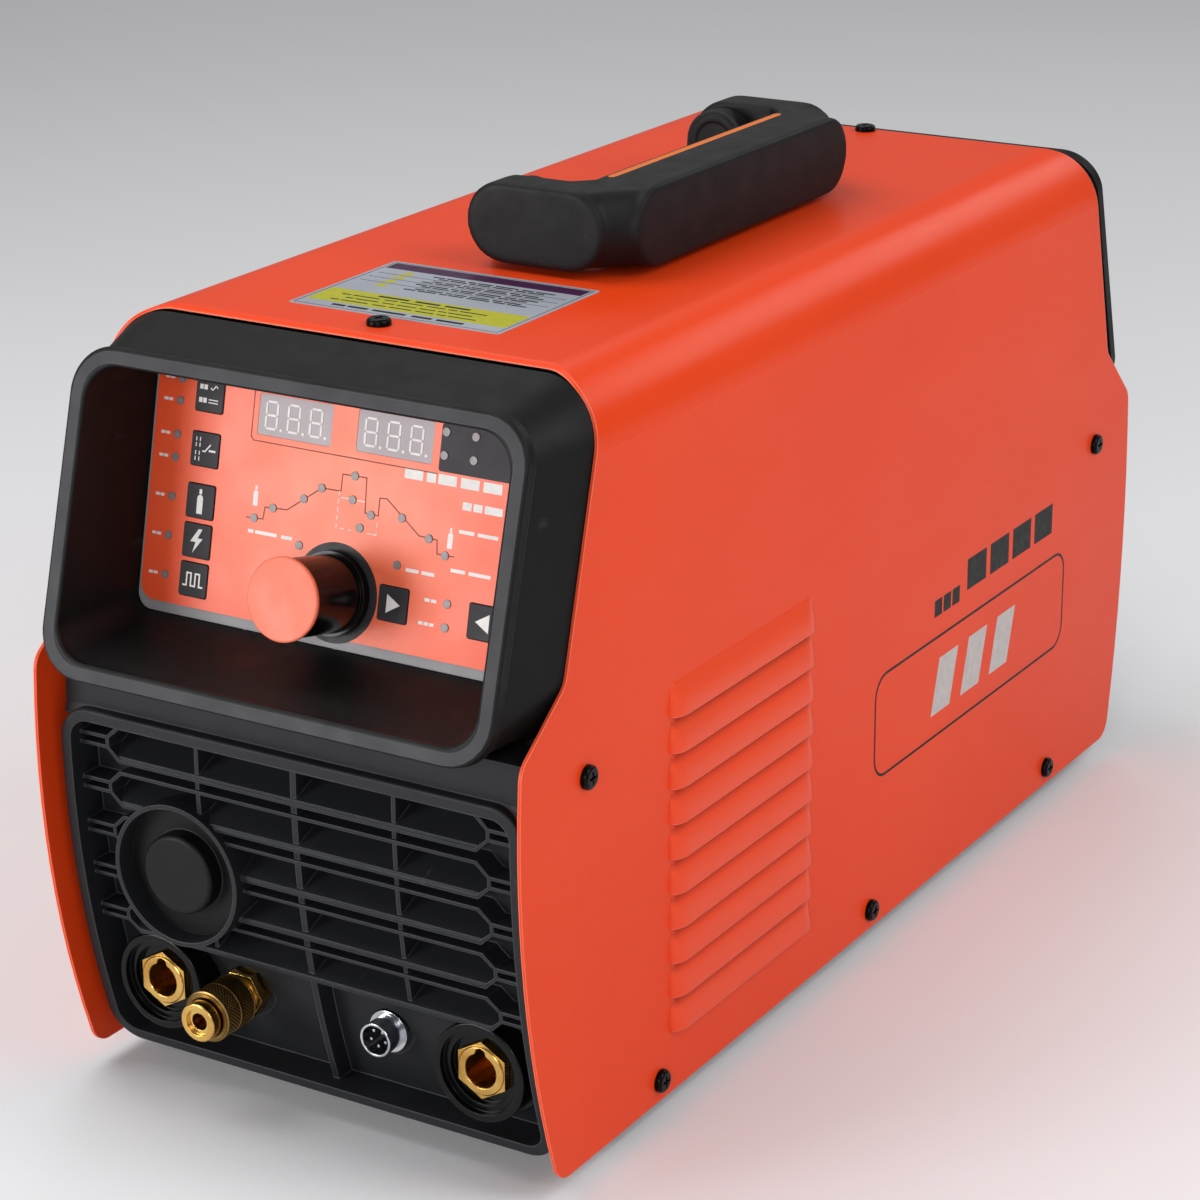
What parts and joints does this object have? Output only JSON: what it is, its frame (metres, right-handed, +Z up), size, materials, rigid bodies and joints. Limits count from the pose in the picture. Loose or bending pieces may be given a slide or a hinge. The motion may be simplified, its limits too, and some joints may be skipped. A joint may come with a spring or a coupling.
{
  "type": "tig welding machine",
  "caption": "Portable inverter welding machine in a sheet-metal case with a recessed control panel, weld sockets, gas coupler, fan and folding handle.",
  "frame": {"origin": "on the ground under the middle of the machine", "axes": "+X to the right seen from the front, +Y to the rear along the length, +Z up"},
  "size_m": [0.2072, 0.5036, 0.3125],
  "materials": {
    "orange_paint": "satin powder coat, bright orange-red",
    "zinc_steel": "zinc plated",
    "foot_rubber": "matte black rubber",
    "black_steel": "black oxide",
    "charcoal_plastic": "fine-textured moulding",
    "grey_plate": "fine matte",
    "orange_film": "printed polyester film",
    "smoked_window": "tinted window",
    "led_lens": "diffused lens",
    "circuit_board": "solder mask",
    "knob_plastic": "fine gloss",
    "orange_cap": "satin",
    "gloss_black": "gloss",
    "brass_bright": "turned brass",
    "brass_dark": "knurled, darkened brass",
    "chrome_plate": "plated",
    "handle_plastic": "fine-grained moulding",
    "orange_strip": "satin inlay",
    "printed_label": "printed film",
    "black_wire": "coated wire",
    "capacitor_sleeve": "shrink sleeve",
    "sink_aluminium": "extruded",
    "ferrite": "sintered",
    "winding_tape": "polyester tape",
    "hose_rubber": "braided hose",
    "key_rubber": "silk matte"
  },
  "bodies": {
    "case": {"base_tray": "zinc_steel", "board_pillars": "brass_bright", "cable_gland": "handle_plastic", "capacitors": "capacitor_sleeve", "case_screws": "black_steel", "control_board": "circuit_board", "control_panel": "grey_plate", "cover_shell": "orange_paint", "display_windows": "smoked_window", "earth_stud": "brass_bright", "encoder": "zinc_steel", "fan_frame": "gloss_black", "fan_guard": "black_wire", "fan_screws": "black_steel", "front_bezel": "charcoal_plastic", "front_grille": "charcoal_plastic", "gas_coupler": "brass_bright", "gas_hose": "hose_rubber", "gas_inlet": "brass_bright", "gas_valve": "brass_bright", "handle_mount": "handle_plastic", "handle_pins": "zinc_steel", "handle_screws": "black_steel", "heat_sinks": "sink_aluminium", "indicator_leds": "led_lens", "outlet_plug": "charcoal_plastic", "output_choke": "winding_tape", "panel_overlay": "orange_film", "power_board": "circuit_board", "power_switch": "gloss_black", "rear_bezel": "charcoal_plastic", "rear_nuts": "zinc_steel", "rear_panel": "charcoal_plastic", "rear_plate": "charcoal_plastic", "rubber_feet": "foot_rubber", "signal_insert": "gloss_black", "signal_pins": "chrome_plate", "signal_shell": "chrome_plate", "socket_contacts": "brass_bright", "socket_insulators": "gloss_black", "socket_nuts": "brass_bright", "top_label": "printed_label", "transformer_core": "ferrite", "transformer_winding": "winding_tape"},
    "handle": {"handle_grip": "handle_plastic", "handle_strip": "orange_strip"},
    "knob": {"control_knob": "knob_plastic", "knob_cap": "orange_cap", "encoder_shaft": "zinc_steel"},
    "gas_collar": {"gas_sleeve": "brass_dark"},
    "fan": {"fan_rotor": "gloss_black"},
    "rocker": {"power_rocker": "gloss_black"},
    "key_arc_start": {"key_arc_start": "key_rubber"},
    "key_current_type": {"key_current_type": "key_rubber"},
    "key_gas_test": {"key_gas_test": "key_rubber"},
    "key_process": {"key_process": "key_rubber"},
    "key_pulse": {"key_pulse": "key_rubber"},
    "key_step_back": {"key_step_back": "key_rubber"},
    "key_step_forward": {"key_step_forward": "key_rubber"},
    "key_trigger_mode": {"key_trigger_mode": "key_rubber"}
  },
  "joints": [
    {"name": "handle_hinge", "type": "hinge", "parent": "case", "child": "handle", "pos_m": [-0.0043, -0.002, 0.2977], "axis": [0, -1, 0], "range_deg": [0, 90]},
    {"name": "knob_turn", "type": "hinge", "parent": "case", "child": "knob", "pos_m": [0, -0.20303, 0.1942], "axis": [0, -0.9744, 0.225], "continuous": true},
    {"name": "gas_collar_slide", "type": "slide", "parent": "case", "child": "gas_collar", "axis": [0, 1, 0], "range_m": [0, 0.0025], "stiffness_N_per_m": 1200, "springref_m": -0.002},
    {"name": "fan_spin", "type": "hinge", "parent": "case", "child": "fan", "pos_m": [0, 0.2, 0.0845], "axis": [0, 1, 0], "continuous": true},
    {"name": "rocker_tilt", "type": "hinge", "parent": "case", "child": "rocker", "pos_m": [-0.048, 0.2094, 0.21857], "axis": [1, 0, 0], "range_deg": [0, 20]},
    {"name": "key_arc_start_press", "type": "slide", "parent": "case", "child": "key_arc_start", "axis": [0, 0.9744, -0.225], "range_m": [0, 0.0008], "stiffness_N_per_m": 500, "springref_m": -0.001},
    {"name": "key_current_type_press", "type": "slide", "parent": "case", "child": "key_current_type", "axis": [0, 0.9744, -0.225], "range_m": [0, 0.0008], "stiffness_N_per_m": 500, "springref_m": -0.001},
    {"name": "key_gas_test_press", "type": "slide", "parent": "case", "child": "key_gas_test", "axis": [0, 0.9744, -0.225], "range_m": [0, 0.0008], "stiffness_N_per_m": 500, "springref_m": -0.001},
    {"name": "key_process_press", "type": "slide", "parent": "case", "child": "key_process", "axis": [0, 0.9744, -0.225], "range_m": [0, 0.0008], "stiffness_N_per_m": 500, "springref_m": -0.001},
    {"name": "key_pulse_press", "type": "slide", "parent": "case", "child": "key_pulse", "axis": [0, 0.9744, -0.225], "range_m": [0, 0.0008], "stiffness_N_per_m": 500, "springref_m": -0.001},
    {"name": "key_step_back_press", "type": "slide", "parent": "case", "child": "key_step_back", "axis": [0, 0.9744, -0.225], "range_m": [0, 0.0008], "stiffness_N_per_m": 500, "springref_m": -0.001},
    {"name": "key_step_forward_press", "type": "slide", "parent": "case", "child": "key_step_forward", "axis": [0, 0.9744, -0.225], "range_m": [0, 0.0008], "stiffness_N_per_m": 500, "springref_m": -0.001},
    {"name": "key_trigger_mode_press", "type": "slide", "parent": "case", "child": "key_trigger_mode", "axis": [0, 0.9744, -0.225], "range_m": [0, 0.0008], "stiffness_N_per_m": 500, "springref_m": -0.001}
  ]
}
